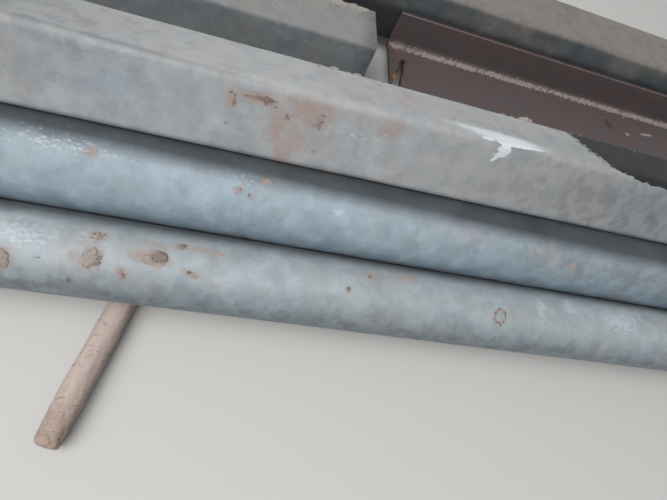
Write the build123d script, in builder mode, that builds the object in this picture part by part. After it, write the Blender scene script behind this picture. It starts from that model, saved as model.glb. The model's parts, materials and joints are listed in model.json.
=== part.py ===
from build123d import *
from math import acos, atan2, cos, degrees, hypot, radians, sin, tan
import os

os.makedirs("parts", exist_ok=True)

# Millimetres. X runs along the tubes, Y runs from the front of the stack to its back, Z is up.
# The origin is on the floor, under the middle of the stack.

# Stock lengths
stock_length = 3000.0
rear_tube_length = 1500.0
angle_length = 1400.0

# Round tubes: outside diameter and wall
front_tube_diameter = 76.1
front_tube_wall = 3.6
upper_tube_diameter = 88.9
upper_tube_wall = 3.2
inner_tube_diameter = 101.6
inner_tube_wall = 3.6

# Square tubes: side, wall and outside corner radius
top_tube_side = 75.0
top_tube_wall = 3.2
top_tube_corner = 8.0
rear_tube_side = 80.0
rear_tube_wall = 3.2
rear_tube_corner = 8.0
back_tube_side = 100.0
back_tube_wall = 4.0
back_tube_corner = 9.0

# Angle section: the wide leg lies flat, the narrow leg stands at the back
angle_flat_leg = 100.0
angle_upright_leg = 63.0
angle_thickness = 7.0
angle_root_radius = 10.0
angle_toe_radius = 2.3
angle_notch_mouth_width = 12.7
angle_notch_tip_width = 4.3
angle_notch_from_end = 7.6
angle_notch_lean = 15.4
angle_notch_web = 29.0

# Round timber bearers under the stack
bearer_diameter = 26.0
bearer_long_reach = 155.0
bearer_short_reach = 45.0
bearer_back_reach = 20.0
bearer_tip_length = 40.0
bearer_tip_diameter = 23.0
bearer_tip_round = 5.0
outer_bearer_from_stock_end = 270.0
long_bearer_from_rear_tube_end = 240.0
inner_bearer_from_angle_end = 428.0
left_bearer_skew = -4.0
long_bearer_skew = 14.3
inner_bearer_skew = -3.0
right_bearer_skew = 5.0

# How the pieces lie: the rear places are behind the front tube's axis, the ends are along X
seat_gap = 0.3
groove_width = 77.0
top_tube_overhang = 9.6
rear_tube_place = 341.5
rear_tube_end = 40.0
angle_end = 92.0
angle_back_place = 467.5
back_tube_gap = 7.5

bearer_top = bearer_diameter + seat_gap
front_radius = front_tube_diameter / 2
upper_radius = upper_tube_diameter / 2
inner_radius = inner_tube_diameter / 2

# Tubes on the bearers
depth_behind_front = angle_back_place + back_tube_gap + back_tube_side
front_y = (bearer_long_reach - depth_behind_front - bearer_back_reach) / 2
front_z = bearer_top + front_radius
inner_y = front_y + front_radius + groove_width + inner_radius
inner_z = bearer_top + inner_radius

# The upper tube lies in the groove between the front tube and the inner tube
groove_span = hypot(inner_y - front_y, inner_z - front_z)
groove_slope = atan2(inner_z - front_z, inner_y - front_y)
front_to_upper = front_radius + upper_radius + seat_gap
inner_to_upper = inner_radius + upper_radius + seat_gap
groove_angle = acos((front_to_upper**2 + groove_span**2 - inner_to_upper**2) / (2 * front_to_upper * groove_span))
upper_y = front_y + front_to_upper * cos(groove_slope + groove_angle)
upper_z = front_z + front_to_upper * sin(groove_slope + groove_angle)

# The top tube's underside rests on the upper tube, and its rear lower corner on the inner tube
corner_along = top_tube_side - top_tube_corner - top_tube_overhang
corner_up = upper_radius + seat_gap + top_tube_corner
corner_reach = hypot(corner_along, corner_up)
corner_turn = atan2(corner_up, corner_along)
seat_reach = inner_radius + seat_gap + top_tube_corner
upper_to_inner = hypot(inner_y - upper_y, inner_z - upper_z)
upper_slope = atan2(inner_z - upper_z, inner_y - upper_y)
seat_angle = acos((corner_reach**2 + upper_to_inner**2 - seat_reach**2) / (2 * corner_reach * upper_to_inner))
top_lean = corner_turn - upper_slope - seat_angle
centre_along = top_tube_side / 2 - top_tube_overhang
centre_up = upper_radius + seat_gap + top_tube_side / 2
top_y = upper_y + centre_along * cos(top_lean) + centre_up * sin(top_lean)
top_z = upper_z - centre_along * sin(top_lean) + centre_up * cos(top_lean)

# The rear rows stand on the bearers
rear_y = front_y + rear_tube_place + rear_tube_side / 2
rear_z = bearer_top + rear_tube_side / 2
angle_back = front_y + angle_back_place
back_y = angle_back + back_tube_gap + back_tube_side / 2
back_z = bearer_top + back_tube_side / 2


def round_tube(y, z, diameter, wall, length):
    """A straight round tube along X, centred on X = 0."""
    with BuildPart() as tube:
        with BuildSketch(Plane.YZ.offset(-length / 2)):
            with Locations((y, z)):
                Circle(diameter / 2)
                Circle(diameter / 2 - wall, mode=Mode.SUBTRACT)
        extrude(amount=length)
    return tube


def square_tube(y, z, side, wall, corner, lean, start, length):
    """A straight square tube along X with rounded corners, turned back by its lean."""
    with BuildPart() as tube:
        with BuildSketch(Plane.YZ.offset(start)):
            with Locations(Location((y, z), -lean)):
                RectangleRounded(side, side, corner)
                RectangleRounded(side - 2 * wall, side - 2 * wall, corner - wall, mode=Mode.SUBTRACT)
        extrude(amount=length)
    return tube


def bearer(place, skew, front_reach):
    """A round timber bearer on the floor, square across the stack apart from its skew."""
    radius = bearer_diameter / 2
    tip_radius = bearer_tip_diameter / 2
    length = (front_reach + depth_behind_front + bearer_back_reach) / cos(radians(skew))
    start_y = front_y - front_reach
    start_x = place - front_reach * tan(radians(skew))
    axis = Plane(
        origin=(start_x, start_y, radius),
        x_dir=(sin(radians(skew)), cos(radians(skew)), 0),
        z_dir=(cos(radians(skew)), -sin(radians(skew)), 0),
    )
    with BuildPart() as stick:
        with BuildSketch(axis):
            with BuildLine():
                Polyline(
                    (0, 0),
                    (0, tip_radius),
                    (bearer_tip_length, radius),
                    (length, radius),
                    (length, 0),
                    close=True,
                )
            make_face()
        revolve(axis=Axis(axis.origin, axis.x_dir))
        front_rim = stick.edges().filter_by(GeomType.CIRCLE).sort_by(Axis.Y)[0]
        fillet(front_rim, bearer_tip_round)
    return stick


round_tube_front = round_tube(front_y, front_z, front_tube_diameter, front_tube_wall, stock_length)
round_tube_upper = round_tube(upper_y, upper_z, upper_tube_diameter, upper_tube_wall, stock_length)
round_tube_inner = round_tube(inner_y, inner_z, inner_tube_diameter, inner_tube_wall, stock_length)

square_tube_top = square_tube(
    top_y, top_z, top_tube_side, top_tube_wall, top_tube_corner,
    degrees(top_lean), -stock_length / 2, stock_length,
)
square_tube_rear = square_tube(
    rear_y, rear_z, rear_tube_side, rear_tube_wall, rear_tube_corner,
    0, rear_tube_end - rear_tube_length, rear_tube_length,
)
square_tube_back = square_tube(
    back_y, back_z, back_tube_side, back_tube_wall, back_tube_corner,
    0, -stock_length / 2, stock_length,
)

# The angle section: rolled to shape, with a tapered notch sawn across its flat leg near the left end
root_y = angle_back - angle_thickness
root_z = bearer_top + angle_thickness
flat_front = angle_back - angle_flat_leg
upright_top = bearer_top + angle_upright_leg
notch_length = angle_flat_leg - angle_thickness - angle_notch_web
notch_mouth = angle_end + angle_notch_from_end
notch_tip = notch_mouth + notch_length * tan(radians(angle_notch_lean))

with BuildPart() as angle_section:
    with BuildSketch(Plane.YZ.offset(angle_end)):
        with BuildLine():
            Polyline(
                (angle_back, bearer_top),
                (angle_back, upright_top),
                (root_y, upright_top),
                (root_y, root_z),
                (flat_front, root_z),
                (flat_front, bearer_top),
                close=True,
            )
        make_face()
    extrude(amount=angle_length)
    long_edges = angle_section.edges().filter_by(Axis.X)
    root_edge = long_edges.sort_by_distance((angle_end, root_y, root_z))[0]
    upright_toe = long_edges.sort_by_distance((angle_end, root_y, upright_top))[0]
    flat_toe = long_edges.sort_by_distance((angle_end, flat_front, root_z))[0]
    fillet(root_edge, angle_root_radius)
    fillet([upright_toe, flat_toe], angle_toe_radius)
    with BuildSketch(Plane.XY.offset(bearer_top)):
        with BuildLine():
            Polyline(
                (notch_mouth - angle_notch_mouth_width / 2, flat_front),
                (notch_tip - angle_notch_tip_width / 2, flat_front + notch_length),
                (notch_tip + angle_notch_tip_width / 2, flat_front + notch_length),
                (notch_mouth + angle_notch_mouth_width / 2, flat_front),
                close=True,
            )
        make_face()
    extrude(amount=angle_thickness, mode=Mode.SUBTRACT)

outer_bearer_place = stock_length / 2 - outer_bearer_from_stock_end
long_bearer_place = rear_tube_end - long_bearer_from_rear_tube_end
inner_bearer_place = angle_end + inner_bearer_from_angle_end

bearer_left = bearer(-outer_bearer_place, left_bearer_skew, bearer_short_reach)
bearer_long = bearer(long_bearer_place, long_bearer_skew, bearer_long_reach)
bearer_inner = bearer(inner_bearer_place, inner_bearer_skew, bearer_short_reach)
bearer_right = bearer(outer_bearer_place, right_bearer_skew, bearer_short_reach)

round_tube_front.part.label = "round_tube_front"
round_tube_upper.part.label = "round_tube_upper"
round_tube_inner.part.label = "round_tube_inner"
square_tube_top.part.label = "square_tube_top"
square_tube_rear.part.label = "square_tube_rear"
square_tube_back.part.label = "square_tube_back"
angle_section.part.label = "angle_section"
bearer_left.part.label = "bearer_left"
bearer_long.part.label = "bearer_long"
bearer_inner.part.label = "bearer_inner"
bearer_right.part.label = "bearer_right"

export_step(round_tube_front.part, "parts/round_tube_front.step")
export_step(round_tube_upper.part, "parts/round_tube_upper.step")
export_step(round_tube_inner.part, "parts/round_tube_inner.step")
export_step(square_tube_top.part, "parts/square_tube_top.step")
export_step(square_tube_rear.part, "parts/square_tube_rear.step")
export_step(square_tube_back.part, "parts/square_tube_back.step")
export_step(angle_section.part, "parts/angle_section.step")
export_step(bearer_left.part, "parts/bearer_left.step")
export_step(bearer_long.part, "parts/bearer_long.step")
export_step(bearer_inner.part, "parts/bearer_inner.step")
export_step(bearer_right.part, "parts/bearer_right.step")
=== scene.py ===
"""The looks of a stack of steel tubes that lies on round timber bearers.

Everything is in metres, in the frame of the model: X along the tubes, Y towards the back, Z up.
A place on a section is a length round its outline, measured from the outline's start.
"""

import json
import math
from collections import namedtuple

import bpy
import numpy as np
from bpy.props import FloatProperty, FloatVectorProperty, IntProperty, PointerProperty
from mathutils import Matrix, Vector

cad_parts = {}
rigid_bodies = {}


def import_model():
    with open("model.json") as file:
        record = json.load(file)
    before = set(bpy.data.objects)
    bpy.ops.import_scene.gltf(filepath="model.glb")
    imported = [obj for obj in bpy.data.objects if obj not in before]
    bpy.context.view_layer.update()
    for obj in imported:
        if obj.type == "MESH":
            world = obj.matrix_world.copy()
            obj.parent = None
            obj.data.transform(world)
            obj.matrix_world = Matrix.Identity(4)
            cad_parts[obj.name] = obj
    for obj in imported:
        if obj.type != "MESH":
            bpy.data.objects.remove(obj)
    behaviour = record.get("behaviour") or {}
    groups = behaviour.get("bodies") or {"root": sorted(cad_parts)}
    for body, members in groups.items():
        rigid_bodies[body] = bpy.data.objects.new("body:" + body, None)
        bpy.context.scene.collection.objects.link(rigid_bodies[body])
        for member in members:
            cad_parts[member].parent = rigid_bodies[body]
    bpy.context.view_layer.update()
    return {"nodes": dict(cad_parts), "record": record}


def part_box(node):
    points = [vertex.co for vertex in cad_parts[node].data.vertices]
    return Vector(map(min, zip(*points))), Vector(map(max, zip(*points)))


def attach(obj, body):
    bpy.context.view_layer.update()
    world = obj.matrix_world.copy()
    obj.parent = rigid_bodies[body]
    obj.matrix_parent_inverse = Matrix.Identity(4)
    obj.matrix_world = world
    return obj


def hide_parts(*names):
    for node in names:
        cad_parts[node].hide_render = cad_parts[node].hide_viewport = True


bl_info = {
    "name": "Stack of steel tubes",
    "version": (1, 0, 0),
    "blender": (4, 5, 0),
    "location": "3D View > Sidebar > Tube stack",
    "description": "Dresses a stack of galvanised tubes, an angle section and timber bearers",
    "category": "Object",
}

for leftover in list(bpy.data.objects):
    bpy.data.objects.remove(leftover)

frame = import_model()

MM = 0.001
BODY = "root"
SHARP_EDGE = math.radians(50)


# Numbers and random fields


def linear(red, green, blue):
    """A display colour, from 0 to 255 a channel, as scene-linear values."""
    shares = (red / 255, green / 255, blue / 255)
    return tuple(s / 12.92 if s <= 0.04045 else ((s + 0.055) / 1.055) ** 2.4 for s in shares)


def waves(places, length, seed, count=14):
    """A smooth random field over places, about -1 to 1, with features of about the given length."""
    chance = np.random.RandomState(seed)
    total = np.zeros(places.shape[:-1])
    for _ in range(count):
        heading = chance.normal(size=3)
        heading /= np.linalg.norm(heading)
        pitch = 2 * math.pi / (length * chance.uniform(0.7, 1.6))
        total += np.sin(places @ (heading * pitch) + chance.uniform(0, 2 * math.pi))
    return total / math.sqrt(2 * count)


def rough(places, length, seed, octaves=3):
    """Waves with finer and lower waves on them."""
    total = np.zeros(places.shape[:-1])
    for octave in range(octaves):
        total += waves(places, length / 2.1**octave, seed + 31 * octave) / 1.8**octave
    return total


def unit(value):
    """A value held between 0 and 1."""
    return np.clip(value, 0, 1)


def ramp(distance, fade):
    """0 to 1 across a fade, and 0.5 where the distance is 0."""
    return unit(0.5 + distance / fade)


def bell(distance, width):
    """1 where the distance is 0, and falling away on both sides of it."""
    return np.exp(-((distance / width) ** 2))


# Sections and straight pieces


class Skin:
    """The outline of a straight section: points in the YZ plane, with outward normals."""

    def __init__(self, points, normals):
        self.points = np.array(points)
        self.closed_points = np.vstack([self.points, self.points[:1]])
        self.closed_normals = np.vstack([normals, normals[:1]])
        steps = np.linalg.norm(np.diff(self.closed_points, axis=0), axis=1)
        self.along = np.concatenate([[0.0], np.cumsum(steps)])
        self.around = self.along[-1]

    def place(self, x, s, height):
        """Points at x and at a length s round the outline, raised from the surface by height."""
        turned = np.mod(s, self.around)
        columns = [x]
        for axis in range(2):
            point = np.interp(turned, self.along, self.closed_points[:, axis])
            normal = np.interp(turned, self.along, self.closed_normals[:, axis])
            columns.append(point + normal * height)
        return np.stack(np.broadcast_arrays(*columns), axis=-1)

    def apart(self, s, other):
        """How far s lies from another place on the outline, the shorter way round."""
        return np.mod(s - other + self.around / 2, self.around) - self.around / 2


def circle_skin(centre_y, centre_z, radius, parts):
    """A round outline that starts at the front and goes up."""
    turn = np.arange(parts) / parts * 2 * math.pi
    normals = np.stack([-np.cos(turn), np.sin(turn)], axis=-1)
    return Skin(np.array([centre_y, centre_z]) + radius * normals, normals)


def spun(vector, turn):
    """A vector in the plane, turned."""
    cos, sin = math.cos(turn), math.sin(turn)
    return np.array([vector[0] * cos - vector[1] * sin, vector[0] * sin + vector[1] * cos])


def rounded_skin(corners, radii, flat_parts, arc_parts):
    """An outline through corners, each rounded with its radius, and with its outside on the left."""
    corners = np.array(corners, float)
    runs = np.roll(corners, -1, axis=0) - corners
    runs /= np.linalg.norm(runs, axis=1)[:, None]
    turns = [
        math.atan2(before[0] * after[1] - before[1] * after[0], before @ after)
        for before, after in zip(np.roll(runs, 1, axis=0), runs)
    ]
    setbacks = [radius * math.tan(abs(turn) / 2) for radius, turn in zip(radii, turns)]
    points, normals = [], []
    for index, (corner, radius, turn) in enumerate(zip(corners, radii, turns)):
        before = runs[index - 1]
        normal = np.array([-before[1], before[0]])
        bend = math.copysign(radius, turn)
        middle = corner - before * setbacks[index] + normal * bend
        for share in np.linspace(0, 1, arc_parts + 1 if radius else 1):
            turned = spun(normal, turn * share)
            points.append(middle - turned * bend)
            normals.append(turned)
        following = (index + 1) % len(corners)
        leaving = points[-1]
        arriving = corners[following] - runs[index] * setbacks[following]
        for part in range(1, flat_parts[index]):
            points.append(leaving + (arriving - leaving) * part / flat_parts[index])
            normals.append(normals[-1])
    return Skin(points, np.array(normals))


def square_skin(centre_y, centre_z, side, corner, lean, flat_parts, arc_parts):
    """A square outline that starts in the middle of the front face and goes up."""
    half = side / 2
    local = [(-half, 0), (-half, half), (half, half), (half, -half), (-half, -half)]
    turned = [np.array([centre_y, centre_z]) + spun(point, -lean) for point in local]
    parts = [flat_parts // 2, flat_parts, flat_parts, flat_parts, flat_parts // 2]
    return rounded_skin(turned, [0, corner, corner, corner, corner], parts, arc_parts)


def stations(low, high, fine_low, fine_high, fine, coarse, rim):
    """Places along X, closer together between fine_low and fine_high, with a rim at each end."""
    def row(start, end, step):
        return np.linspace(start, end, max(2, math.ceil((end - start) / step) + 1))[:-1]

    near = min(max(fine_low, low + 2 * rim), high - 3 * rim)
    far = max(min(fine_high, high - 2 * rim), near + rim)
    body = [row(low + rim, near, coarse), row(near, far, fine), row(far, high - rim, coarse)]
    return np.concatenate([[low], *body, [high - rim, high]])


def grid_faces(rows, columns, join_rows=False, join_columns=False):
    """Faces of a grid, turned outwards. Joining closes it from the last row or column to the first."""
    row = np.arange(rows if join_rows else rows - 1)[:, None]
    column = np.arange(columns if join_columns else columns - 1)
    next_row = (row + 1) % rows
    next_column = (column + 1) % columns
    corners = [(row, column), (next_row, column), (next_row, next_column), (row, next_column)]
    return np.stack([down * columns + over for down, over in corners], axis=-1).reshape(-1, 4).tolist()


def linked(name, data):
    """A new object at the origin, in the scene."""
    made = bpy.data.objects.new(name, data)
    bpy.context.scene.collection.objects.link(made)
    return made


def new_piece(name, points, faces):
    """A mesh object at the origin, with its place in its mesh."""
    mesh = bpy.data.meshes.new(name)
    mesh.from_pydata(np.asarray(points).tolist(), [], faces)
    mesh.update()
    mesh.shade_smooth()
    mesh.set_sharp_from_angle(angle=SHARP_EDGE)
    return linked(name, mesh)


def evaluated_mesh(piece):
    """A plain mesh of what a piece's modifiers make."""
    seen = piece.evaluated_get(bpy.context.evaluated_depsgraph_get())
    return bpy.data.meshes.new_from_object(seen)


Bead = namedtuple("Bead", "place width height")
Swept = namedtuple("Swept", "object x s")
SAW_CUT = 0.5 * MM
SAW_NICKS = 9 * MM
BORE_INSET = 25 * MM


def sweep(name, skin, places, relief, inner=None, bead=None, cut=SAW_CUT):
    """A straight piece along X. relief(x, s, points) is how far each outer point stands out.

    With an inner skin it is a tube, with a weld bead along the inside. Without one it is a bar.
    """
    count = len(skin.points)
    x, s = np.meshgrid(places, skin.along[:-1], indexing="ij")
    middle = (places[0] + places[-1]) / 2
    at_end = unit(1 - (places[-1] - middle - abs(x - middle)) / (2 * cut))
    surface = skin.place(x, s, 0)
    nicks = 0.5 + 0.5 * waves(surface, SAW_NICKS, 71)
    sawn = x - np.sign(x - middle) * at_end * cut * nicks
    rings = [skin.place(sawn, s, relief(x, s, surface) - cut * at_end)]
    if inner is not None:
        near_end = [places[-1] - cut / 2, places[-1] - BORE_INSET]
        far_end = [places[0] + BORE_INSET, places[0] + cut / 2]
        inner_x, inner_s = np.meshgrid(np.array(near_end + far_end), inner.along[:-1], indexing="ij")
        raised = bead.height * bell(inner.apart(inner_s, bead.place), bead.width)
        rings.append(inner.place(inner_x, inner_s, -raised))
    points = np.concatenate(rings)
    faces = grid_faces(len(points), count, inner is not None, True)
    if inner is None:
        faces.append(list(range(count)))
        faces.append([(len(points) - 1) * count + index for index in reversed(range(count))])
    return Swept(new_piece(name, points.reshape(-1, 3), faces), x, s)


def set_field(piece, name, values):
    """Keeps a number for each point of a piece, for its material to read."""
    full = np.zeros(len(piece.data.vertices), np.float32)
    flat = np.asarray(values, np.float32).ravel()
    full[: len(flat)] = flat
    piece.data.attributes.new(name, "FLOAT", "POINT").data.foreach_set("value", full)


def dress(piece, material, node=None):
    """Gives a piece its material and slot, and lets it ride on the stack."""
    piece.data.materials.clear()
    piece.data.materials.append(material)
    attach(piece, BODY)
    if node:
        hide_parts(node)


# Marks on the steel: each is an ellipse of half-length x width at a place, turned and with a strength

Mark = namedtuple("Mark", "x s length width turn strength", defaults=(0.0, 1.0))


def from_middle(x, away_s, mark):
    """How far places lie from the middle of a mark or a cake. It is 1 on the outline."""
    spin = math.radians(mark.turn)
    away_x = x - mark.x * MM
    along = (away_x * math.cos(spin) + away_s * math.sin(spin)) / (mark.length * MM)
    across = (away_s * math.cos(spin) - away_x * math.sin(spin)) / (mark.width * MM)
    return np.hypot(along, across)


def mark_field(skin, x, s, marks):
    """1 in the middle of a mark, 0.5 on its edge and 0 well outside it."""
    total = np.zeros(x.shape)
    for mark in marks:
        away = from_middle(x, skin.apart(s, mark.s * MM), mark)
        total = np.maximum(total, mark.strength * unit(1 - away / 2))
    return total


def dents(skin, x, s, marks):
    """The depth of soft dents at marks, whose strength is their depth in millimetres."""
    total = np.zeros(x.shape)
    for mark in marks:
        away_x = (x - mark.x * MM) / (mark.length * MM)
        away_s = skin.apart(s, mark.s * MM) / (mark.width * MM)
        total += mark.strength * MM * np.exp(-(away_x**2) - away_s**2)
    return total


# Node graphs


class Number:
    """A value in a node graph. Arithmetic on it adds Math nodes."""

    def __init__(self, graph, socket):
        self.graph = graph
        self.socket = socket

    def _math(self, operation, first, second=0.0, clamp=False):
        settings = {"operation": operation, "use_clamp": clamp}
        return self.graph.number("ShaderNodeMath", settings, {0: first, 1: second}, "Value")

    def __add__(self, other):
        return self._math("ADD", self, other)

    def __radd__(self, other):
        return self._math("ADD", other, self)

    def __sub__(self, other):
        return self._math("SUBTRACT", self, other)

    def __rsub__(self, other):
        return self._math("SUBTRACT", other, self)

    def __mul__(self, other):
        return self._math("MULTIPLY", self, other)

    def __rmul__(self, other):
        return self._math("MULTIPLY", other, self)

    def away(self, other):
        """The distance from another number."""
        return self._math("ABSOLUTE", self - other)

    def clamped(self):
        return self._math("ADD", self, 0.0, clamp=True)

    def at_least(self, other):
        return self._math("MAXIMUM", self, other)


class Graph:
    """Adds nodes to a tree by type, with their settings first and their sockets after them."""

    def __init__(self, tree):
        self.tree = tree

    def node(self, kind, settings=None, sockets=None):
        made = self.tree.nodes.new(kind)
        for key, value in (settings or {}).items():
            setattr(made, key, value)
        for key, value in (sockets or {}).items():
            self._feed(self._find(made.inputs, key), value)
        return made

    def number(self, kind, settings, sockets, output):
        return Number(self, self._find(self.node(kind, settings, sockets).outputs, output))

    def out(self, node, name):
        return self._find(node.outputs, name)

    def _find(self, sockets, key):
        if isinstance(key, int):
            return sockets[key]
        return next(s for s in sockets if s.name == key and s.enabled)

    def _feed(self, socket, value):
        if isinstance(value, Number):
            self.tree.links.new(value.socket, socket)
        elif isinstance(value, bpy.types.NodeSocket):
            self.tree.links.new(value, socket)
        else:
            socket.default_value = value


class Finish(Graph):
    """A material's graph, with the textures and mixes that the finishes of the stack share."""

    def __init__(self, name):
        self.material = bpy.data.materials.new(name)
        self.material.use_nodes = True
        super().__init__(self.material.node_tree)
        self.tree.nodes.clear()
        self.coords = self.out(self.node("ShaderNodeTexCoord"), "Object")
        self.geometry = self.node("ShaderNodeNewGeometry")

    def stretched(self, scale, turn=0.0):
        """Object coordinates scaled by axis and turned about X, in degrees."""
        sockets = {"Vector": self.coords, "Scale": scale, "Rotation": (math.radians(turn), 0, 0)}
        return self.out(self.node("ShaderNodeMapping", None, sockets), "Vector")

    def noise(self, size, detail=3.0, roughness=0.5, vector=None):
        """Noise from 0 to 1 with features of the given size in metres."""
        sockets = {"Vector": vector or self.coords, "Scale": 1 / size}
        sockets |= {"Detail": detail, "Roughness": roughness}
        return self.number("ShaderNodeTexNoise", None, sockets, "Fac")

    def pushed_coords(self, size, amount):
        """Object coordinates pushed about by noise."""
        sockets = {"Vector": self.coords, "Scale": 1 / size, "Detail": 2.0}
        colour = self.out(self.node("ShaderNodeTexNoise", None, sockets), "Color")
        middle = {0: colour, 1: (0.5,) * 3}
        centred = self.node("ShaderNodeVectorMath", {"operation": "SUBTRACT"}, middle)
        push = {0: centred.outputs[0], 1: (amount,) * 3, 2: self.coords}
        return self.node("ShaderNodeVectorMath", {"operation": "MULTIPLY_ADD"}, push).outputs[0]

    def cells(self, size, vector=None, feature="F1"):
        """A cell texture: the distance to a cell's middle, and one random number for each cell."""
        sockets = {"Vector": vector or self.coords, "Scale": 1 / size}
        texture = self.node("ShaderNodeTexVoronoi", {"feature": feature}, sockets)
        parts = self.node("ShaderNodeSeparateColor", None, {"Color": self.out(texture, "Color")})
        return Number(self, self.out(texture, "Distance")), Number(self, self.out(parts, "Red"))

    def field(self, name):
        """A number that the piece keeps for each point."""
        return self.number("ShaderNodeAttribute", {"attribute_name": name}, None, "Fac")

    def step(self, value, low, high):
        """0 below low, 1 above high, and smooth between."""
        sockets = {"Value": value, "From Min": low, "From Max": high}
        smooth = {"interpolation_type": "SMOOTHSTEP"}
        return self.number("ShaderNodeMapRange", smooth, sockets, "Result")

    def facing_up(self):
        """How far the surface faces up, from -1 to 1."""
        normal = self.out(self.geometry, "Normal")
        return self.number("ShaderNodeSeparateXYZ", None, {"Vector": normal}, "Z")

    def mix(self, first, second, share):
        """A colour between two, as a socket."""
        def ready(colour):
            return colour if isinstance(colour, bpy.types.NodeSocket) else (*colour, 1.0)

        settings = {"data_type": "RGBA", "clamp_factor": True}
        sockets = {"Factor": share, "A": ready(first), "B": ready(second)}
        return self.out(self.node("ShaderNodeMix", settings, sockets), "Result")

    def base(self, first, second, share):
        """Starts the colour as a mix of two."""
        self.colour = self.mix(first, second, share)

    def lay(self, colour, share):
        """Lays a colour over what is there, as thick as the share says."""
        self.colour = self.mix(self.colour, colour, share)

    def ragged(self, name, grain, amount, soft=0.06):
        """The mask of a field, with an edge broken up by a grain from 0 to 1."""
        return self.step(self.field(name) + (grain - 0.5) * amount, 0.5 - soft, 0.5 + soft)

    def bump(self, height, depth, before=None):
        sockets = {"Height": height, "Distance": depth, "Strength": 1.0}
        if before:
            sockets["Normal"] = before
        return self.out(self.node("ShaderNodeBump", None, sockets), "Normal")

    def close(self, roughness, metallic=0.0, normal=None, shine=0.5):
        """Ends the graph with its shader and returns the material."""
        sockets = {
            "Base Color": self.colour,
            "Roughness": roughness,
            "Metallic": metallic,
            "Specular IOR Level": shine,
        }
        if normal:
            sockets["Normal"] = normal
        shader = self.node("ShaderNodeBsdfPrincipled", None, sockets)
        self.node("ShaderNodeOutputMaterial", None, {"Surface": self.out(shader, "BSDF")})
        return self.material


Zinc = namedtuple("Zinc", "light dark dust dust_share blotch_share stain_share", defaults=(0.25, 0.12))

FRESH_ZINC = Zinc(linear(196, 209, 216), linear(141, 154, 163), linear(184, 177, 168), 0.28)
BLUE_ZINC = Zinc(linear(186, 204, 216), linear(135, 151, 163), linear(176, 173, 169), 0.24)
WORN_ZINC = Zinc(linear(198, 205, 210), linear(151, 159, 166), linear(192, 186, 180), 0.48, 0.28, 0.28)
# The rear and back tubes take darker copies of the zinc: painted shade towards the back of the stack.
SHADED_REAR_ZINC = Zinc(linear(160, 167, 169), linear(120, 125, 128), linear(160, 154, 147), 0.60)
SHADED_BACK_ZINC = Zinc(linear(124, 129, 131), linear(90, 95, 98), linear(158, 147, 137), 0.72)
# A dark grey for painted shade, and for the dark crease lines.
SHADE_AND_GRIME = linear(50, 51, 53)
STAIN = linear(176, 156, 147)
RUST_FILM = linear(182, 155, 141)
DEEP_RUST = linear(128, 102, 92)
WET_STEEL = linear(17, 19, 21)
LIME_SPLASH = linear(232, 238, 240)
# Bright zinc for scrapes and specks, and for painted glints.
SCRAPED_ZINC_AND_GLINT = linear(208, 216, 221)
CRACK = linear(92, 70, 62)


def add_rust(finish):
    """Rust film, deep rust and its cracks, where the piece keeps them."""
    grain = finish.noise(9 * MM, 5.0, 0.62)
    grit = finish.noise(2.6 * MM, 3.0, 0.6)
    film = finish.step(finish.field("rust") + (grain - 0.5) * 0.7 + (grit - 0.5) * 0.15, 0.28, 0.78)
    finish.lay(RUST_FILM, film * (0.35 + 0.55 * grain))
    deep_field = finish.field("deep_rust")
    deep = finish.step(deep_field + (finish.noise(4 * MM, 4.0, 0.7) - 0.5) * 0.9, 0.36, 0.66)
    finish.lay(DEEP_RUST, deep * (0.35 + 0.5 * grit))
    vein = finish.step(0.035 - finish.noise(11 * MM, 3.0, 0.55).away(0.5), 0.0, 0.03)
    cracked = vein * finish.step(deep_field + film * 0.12, 0.30, 0.55)
    finish.lay(CRACK, cracked * 0.75)
    return film, deep


def add_splashes(finish, streaks, pushed):
    """Scrapes with painted glints of zinc flakes, the lime splash with its haze, and the wet patch,
    where the piece keeps them.
    """
    # Worn bright zinc, broken into flakes: partly painted glints.
    glint_flakes = finish.noise(3 * MM, 3.0, 0.7, finish.stretched((0.6, 1.0, 1.0)))
    scraped = finish.ragged("scrape", glint_flakes, 1.9, 0.15)
    finish.lay(SCRAPED_ZINC_AND_GLINT, scraped * 0.5)
    haze = finish.step(finish.field("haze") + (streaks - 0.5) * 0.4, 0.15, 0.75)
    finish.lay(LIME_SPLASH, haze * 0.95)
    wet_edge = finish.step(finish.field("wet"), 0.02, 0.10)
    wet = finish.ragged("wet", finish.noise(5 * MM, 5.0, 0.72, pushed), 2.4, 0.05) * wet_edge
    finish.lay(WET_STEEL, wet * 0.98)
    lime = finish.ragged("lime", finish.noise(3.5 * MM, 4.0, 0.6), 0.55, 0.06)
    finish.lay(LIME_SPLASH, lime)
    return wet, lime


def add_specks(finish, dust, painted_gap_shade):
    """Bright specks on clean zinc, and small pits of rust."""
    spot_distance, spot_chance = finish.cells(4.5 * MM)
    speck = finish.step(spot_chance, 0.955, 0.965) * finish.step(0.16 - spot_distance, 0.0, 0.06)
    finish.lay(SCRAPED_ZINC_AND_GLINT, speck * (1 - dust) * (1 - painted_gap_shade) * 0.85)
    pit_distance, pit_chance = finish.cells(11 * MM)
    pit = finish.step(pit_chance, 0.94, 0.96) * finish.step(0.13 - pit_distance, 0.0, 0.07)
    finish.lay(DEEP_RUST, pit * 0.55)
    return pit


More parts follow.
